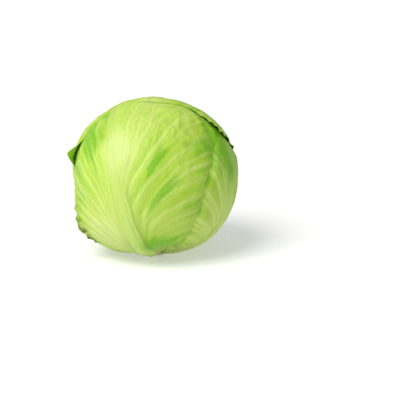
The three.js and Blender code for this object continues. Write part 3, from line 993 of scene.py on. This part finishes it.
def bundle_finish(colours):
    bundle = Finish("bundle", 0.6)
    spots = bundle.noise(bundle.place(), 900.0, 3.0)
    bundle.feed("Base Color", bundle.mix(colours.stem_cut, colours.stem, 0.25 + spots * 0.4))
    return bundle.material


def floor_finish(colours):
    floor = Finish("floor", 0.85, lit=0.36)
    cloud = floor.noise(floor.place(), 3.0)
    floor.feed("Base Color", floor.mix(colours.floor, (0.66, 0.66, 0.66), cloud))
    return floor.material


def group_tree(name, sockets):
    """An empty Geometry Nodes tree with named inputs, and its input and output nodes."""
    tree = bpy.data.node_groups.new(name, "GeometryNodeTree")
    tree.interface.new_socket("Geometry", in_out="INPUT", socket_type="NodeSocketGeometry")
    for label, kind, default in sockets:
        socket = tree.interface.new_socket(label, in_out="INPUT", socket_type=kind)
        if default is not None:
            socket.default_value = default
    tree.interface.new_socket("Geometry", in_out="OUTPUT", socket_type="NodeSocketGeometry")
    graph = Graph(tree)
    given = graph.node("NodeGroupInput")
    return graph, lambda label: Value(graph, given.outputs[label])


def add_leaf(sheet, material, tree):
    """Makes a leaf's piece, which stands for the plain solid of the same name."""
    leaf, shape = sheet.leaf, sheet.shape
    points, triangles, marks = leaf_mesh(sheet)
    piece = mesh_object(f"{leaf['name']}_blade", points, triangles)
    add_marks(piece, marks)
    settle(piece, tree, {
        "Head centre": tuple(HEAD_CENTRE * MM),
        "Pucker height": shape.pucker_height,
        "Pucker size": shape.pucker_size,
        "Seed": leaf["seed"],
        "Leaf material": material,
    })
    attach(piece, "root")
    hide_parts(leaf["name"])


def finish_tree(graph, geometry, material):
    """Ends a tree in Realize Instances and Set Material."""
    real = graph.value("GeometryNodeRealizeInstances", "Geometry", None, {"Geometry": geometry})
    coated = graph.value("GeometryNodeSetMaterial", "Geometry", None, {"Geometry": real, "Material": material})
    graph.node("NodeGroupOutput", None, {"Geometry": coated})


def pucker_tree():
    """Moves both faces of a blade along the lines from the head's centre, by noise that the marks hold back."""
    graph, given = group_tree("Leaf puckers", [
        ("Head centre", "NodeSocketVector", None),
        ("Pucker height", "NodeSocketFloat", 0.001),
        ("Pucker size", "NodeSocketFloat", 0.009),
        ("Seed", "NodeSocketInt", 1),
        ("Leaf material", "NodeSocketMaterial", None),
    ])

    def vector_maths(operation, output, inputs):
        return graph.value("ShaderNodeVectorMath", output, {"operation": operation}, inputs)

    position = graph.value("GeometryNodeInputPosition", "Position")
    from_centre = vector_maths("SUBTRACT", "Vector", {0: position, 1: given("Head centre")})
    along = vector_maths("NORMALIZE", "Vector", {0: from_centre})
    scaled = graph.maths("DIVIDE", HALF_WIDTH * MM, given("Pucker size"))
    noise_place = vector_maths("SCALE", "Vector", {0: along, "Scale": scaled})
    ripples = graph.value(
        "ShaderNodeTexNoise", "Fac", {"noise_dimensions": "4D"},
        {"Vector": noise_place, "W": given("Seed") * 7.3, "Scale": 1.0, "Detail": 2.5, "Roughness": 0.55})
    held = graph.value(
        "GeometryNodeInputNamedAttribute", "Attribute", {"data_type": "FLOAT"}, {"Name": "pucker"})
    moved = (ripples - 0.5) * 2.5 * held * given("Pucker height")
    offset = vector_maths("SCALE", "Vector", {0: along, "Scale": moved})
    puckered = graph.value(
        "GeometryNodeSetPosition", "Geometry", None, {"Geometry": given("Geometry"), "Offset": offset})
    finish_tree(graph, puckered, given("Leaf material"))
    return graph.tree


def bundle_tree():
    """Small flattened beads set round a ring, each moved and sized a little at random."""
    graph, given = group_tree("Stem bundles", [
        ("Count", "NodeSocketInt", 26),
        ("Ring radius", "NodeSocketFloat", 0.012),
        ("Bead radius", "NodeSocketFloat", 0.0009),
        ("Stray", "NodeSocketFloat", 0.0012),
        ("Height", "NodeSocketFloat", 0.0004),
        ("Seed", "NodeSocketInt", 1),
        ("Bead material", "NodeSocketMaterial", None),
    ])
    ring = graph.value(
        "GeometryNodeMeshCircle", "Mesh", {"fill_type": "NONE"},
        {"Vertices": given("Count"), "Radius": given("Ring radius")})
    stray = given("Stray")
    lowest = graph.value("ShaderNodeCombineXYZ", "Vector", None, {"X": 0 - stray, "Y": 0 - stray})
    highest = graph.value("ShaderNodeCombineXYZ", "Vector", None, {"X": stray, "Y": stray})
    jitter = graph.value(
        "FunctionNodeRandomValue", 0, {"data_type": "FLOAT_VECTOR"},
        {0: lowest, 1: highest, "Seed": given("Seed")})
    strewn = graph.value("GeometryNodeSetPosition", "Geometry", None, {"Geometry": ring, "Offset": jitter})
    bead = graph.value(
        "GeometryNodeMeshIcoSphere", "Mesh", None, {"Radius": given("Bead radius"), "Subdivisions": 2})
    size = graph.value(
        "FunctionNodeRandomValue", 1, {"data_type": "FLOAT"}, {2: 0.6, 3: 1.2, "Seed": given("Seed") + 1})
    tall = graph.value("ShaderNodeCombineXYZ", "Vector", None, {"X": size, "Y": size, "Z": 0.4})
    beads = graph.value(
        "GeometryNodeInstanceOnPoints", "Instances", None, {"Points": strewn, "Instance": bead, "Scale": tall})
    lifted = graph.value("ShaderNodeCombineXYZ", "Vector", None, {"Z": given("Height")})
    set_up = graph.value(
        "GeometryNodeTransform", "Geometry", None, {"Geometry": beads, "Translation": lifted})
    finish_tree(graph, set_up, given("Bead material"))
    return graph.tree


# Operators

class LETTUCE_OT_leaves(bpy.types.Operator):
    """Make the outer leaves, which stand for the plain solids of the frame"""

    bl_idname = "lettuce.leaves"
    bl_label = "Outer leaves"

    def execute(self, context):
        colours = context.scene.lettuce_colours
        material = leaf_finish(
            "outer_leaf", colours.leaf_deep_and_shade, colours.leaf_mid, colours.leaf_pale, colours.leaf_lightest_and_highlight,
            colours.vein, colours.rib)
        tree = pucker_tree()
        sheets = []
        for leaf in LEAVES:
            sheet = Sheet(leaf, list(sheets), context.scene.lettuce_shape)
            sheets.append(sheet)
            add_leaf(sheet, material, tree)
        return {"FINISHED"}


class LETTUCE_OT_inner(bpy.types.Operator):
    """Make the leaves inside, and the heart in the middle of them"""

    bl_idname = "lettuce.inner"
    bl_label = "Inner leaves and heart"

    def execute(self, context):
        colours = context.scene.lettuce_colours
        material = leaf_finish(
            "inner_leaf", colours.leaf_pale, colours.inner_leaf, colours.inner_leaf, colours.heart,
            colours.heart, colours.stem)
        tree = pucker_tree()
        for leaf in INNER_LEAVES:
            add_leaf(Sheet(leaf, [], context.scene.lettuce_shape), material, tree)
        heart = self.bud()
        heart.data.materials.append(heart_finish(colours))
        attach(heart, "root")
        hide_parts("heart")
        return {"FINISHED"}

    def bud(self):
        columns, rings = 144, 71
        rises = np.linspace(-90, 90, rings + 2)
        turns = np.linspace(0, 360, columns, endpoint=False)
        level = [direction(turn, rise) for rise in rises[1:-1] for turn in turns]
        along = np.array([direction(0, -90), *level, direction(0, 90)])
        points = along * heart_radius(along)[:, None] + HEAD_CENTRE
        return mesh_object("heart_bud", points, ring_faces(rings, columns))


class LETTUCE_OT_stem(bpy.types.Operator):
    """Make the stem, with its ringed side and its cut face, and the bundles of vessels in the cut"""

    bl_idname = "lettuce.stem"
    bl_label = "Stem"

    def execute(self, context):
        shape = context.scene.lettuce_shape
        colours = context.scene.lettuce_colours
        piece = self.plug(shape)
        piece.data.materials.append(stem_finish(colours))
        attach(piece, "root")
        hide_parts("stem")

        beads = mesh_object("stem_bundles", np.zeros((3, 3)), [(0, 1, 2)])
        settle(beads, bundle_tree(), {
            "Count": shape.bundle_count,
            "Ring radius": shape.stem_radius * 0.66,
            "Bead radius": 0.9 * MM,
            "Stray": 1.3 * MM,
            "Height": 0.45 * MM,
            "Seed": 4,
            "Bead material": bundle_finish(colours),
        })
        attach(beads, "root")
        return {"FINISHED"}

    def plug(self, shape):
        """A closed plug, by rings of points from the middle of the cut face up to the middle of its top."""
        columns = 96
        sizes = (shape.stem_radius, shape.stem_top_radius, shape.stem_height)
        radius, top, tall = (size / MM for size in sizes)
        face = [(radius * step / 14, 0.0) for step in range(1, 14)]
        corner = [(radius - 0.5, 0.12), (radius - 0.1, 0.5)]
        side = [(radius + (top - radius) * step / 48, 1 + (tall - 2.5) * step / 48) for step in range(49)]
        lid = [(top - 1, tall - 0.4), (top / 2, tall)]
        profile = np.array(face + corner + side + lid)
        turns = np.linspace(0, 2 * math.pi, columns, endpoint=False)
        out = np.repeat(profile[:, 0], columns)
        height = np.repeat(profile[:, 1], columns)
        turn = np.tile(turns, len(profile))
        flat = np.column_stack([out * np.cos(turn), out * np.sin(turn), height])
        on_face = height < 0.3
        sunk = 0.25 + 0.2 * noise(flat, 3.0, 41) - 0.25 * smooth(radius * 0.8, radius * 0.97, out)
        height = np.where(on_face, np.clip(sunk, 0.0, 0.6), height)
        on_side = smooth(0.6, 3.0, flat[:, 2]) * (1 - smooth(tall - 4, tall - 1, flat[:, 2]))
        scars = -0.5 * np.abs(np.sin(flat[:, 2] * 0.75 + np.sin(turn) * 1.2)) + 0.3 * noise(flat, 4.0, 42)
        out = out + on_side * scars
        rings = np.column_stack([out * np.cos(turn), out * np.sin(turn), height])
        points = np.vstack([[0, 0, 0.25], rings, [0, 0, tall]])
        return mesh_object("stem_plug", points, ring_faces(len(profile), columns))


class LETTUCE_OT_stage(bpy.types.Operator):
    """Make the floor, the soft light and the camera at the photograph's angle and framing"""

    bl_idname = "lettuce.stage"
    bl_label = "Stage"

    def execute(self, context):
        scene = context.scene
        side = FLOOR_HALF_SIDE
        corners = np.array([[-side, -side, 0], [side, -side, 0], [side, side, 0], [-side, side, 0]])
        floor = mesh_object("floor", corners, [(0, 1, 2, 3)])
        floor.data.materials.append(floor_finish(scene.lettuce_colours))

        self.sun("key", (-0.55, -0.65, 1.05), 2.8, 35)
        self.sun("fill", (-1.0, -0.6, 0.15), 0.5, 60)
        world = bpy.data.worlds.new("soft_white")
        scene.world = world
        world.use_nodes = True
        sky = world.node_tree.nodes["Background"]
        sky.inputs["Color"].default_value = (1, 1, 1, 1)
        sky.inputs["Strength"].default_value = SKY_STRENGTH
        scene.view_settings.view_transform = "Standard"
        self.camera(scene)
        return {"FINISHED"}

    def sun(self, name, place, strength, softness):
        light = bpy.data.lights.new(name, "SUN")
        light.energy = strength
        light.angle = math.radians(softness)
        made = bpy.data.objects.new(name, light)
        made.location = place
        made.rotation_euler = Vector(place).to_track_quat("Z", "Y").to_euler()
        bpy.context.scene.collection.objects.link(made)

    def camera(self, scene):
        rise = math.radians(CAMERA_RISE)
        back = Vector((0, -math.cos(rise), math.sin(rise)))
        screen_up = Vector((0, math.sin(rise), math.cos(rise)))
        middle = PHOTO_SIDE / 2
        right = (middle - STEM_PIXEL[0]) * MM_PER_PIXEL * MM
        up = (STEM_PIXEL[1] - middle) * MM_PER_PIXEL * MM
        target = Vector((right, 0, 0)) + screen_up * up
        lens = bpy.data.cameras.new("camera")
        lens.sensor_width = SENSOR_WIDTH
        lens.lens = SENSOR_WIDTH * CAMERA_DISTANCE / (PHOTO_SIDE * MM_PER_PIXEL * MM)
        made = bpy.data.objects.new("camera", lens)
        made.location = target + back * CAMERA_DISTANCE
        made.rotation_euler = (-back).to_track_quat("-Z", "Y").to_euler()
        scene.collection.objects.link(made)
        scene.camera = made


class LETTUCE_PT_panel(bpy.types.Panel):
    """The sizes, the colours and the steps that make the head"""

    bl_idname = "LETTUCE_PT_panel"
    bl_label = "Head of lettuce"
    bl_space_type = "VIEW_3D"
    bl_region_type = "UI"
    bl_category = "Lettuce"

    def draw(self, context):
        for group in (context.scene.lettuce_shape, context.scene.lettuce_colours):
            column = self.layout.column()
            for name in group.__annotations__:
                column.prop(group, name)
        for operator in OPERATORS:
            self.layout.operator(operator.bl_idname)


OPERATORS = (LETTUCE_OT_leaves, LETTUCE_OT_inner, LETTUCE_OT_stem, LETTUCE_OT_stage)
CLASSES = (LettuceShape, LettuceColours, *OPERATORS, LETTUCE_PT_panel)


def register():
    for each in CLASSES:
        bpy.utils.register_class(each)
    bpy.types.Scene.lettuce_shape = bpy.props.PointerProperty(type=LettuceShape)
    bpy.types.Scene.lettuce_colours = bpy.props.PointerProperty(type=LettuceColours)


def unregister():
    del bpy.types.Scene.lettuce_colours
    del bpy.types.Scene.lettuce_shape
    for each in reversed(CLASSES):
        bpy.utils.unregister_class(each)


def corners(bounds):
    return [[float(value) for value in corner] for corner in bounds]


def main():
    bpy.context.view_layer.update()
    register()
    bpy.ops.lettuce.leaves()
    bpy.ops.lettuce.inner()
    bpy.ops.lettuce.stem()
    bpy.ops.lettuce.stage()


if __name__ == "__main__":
    main()
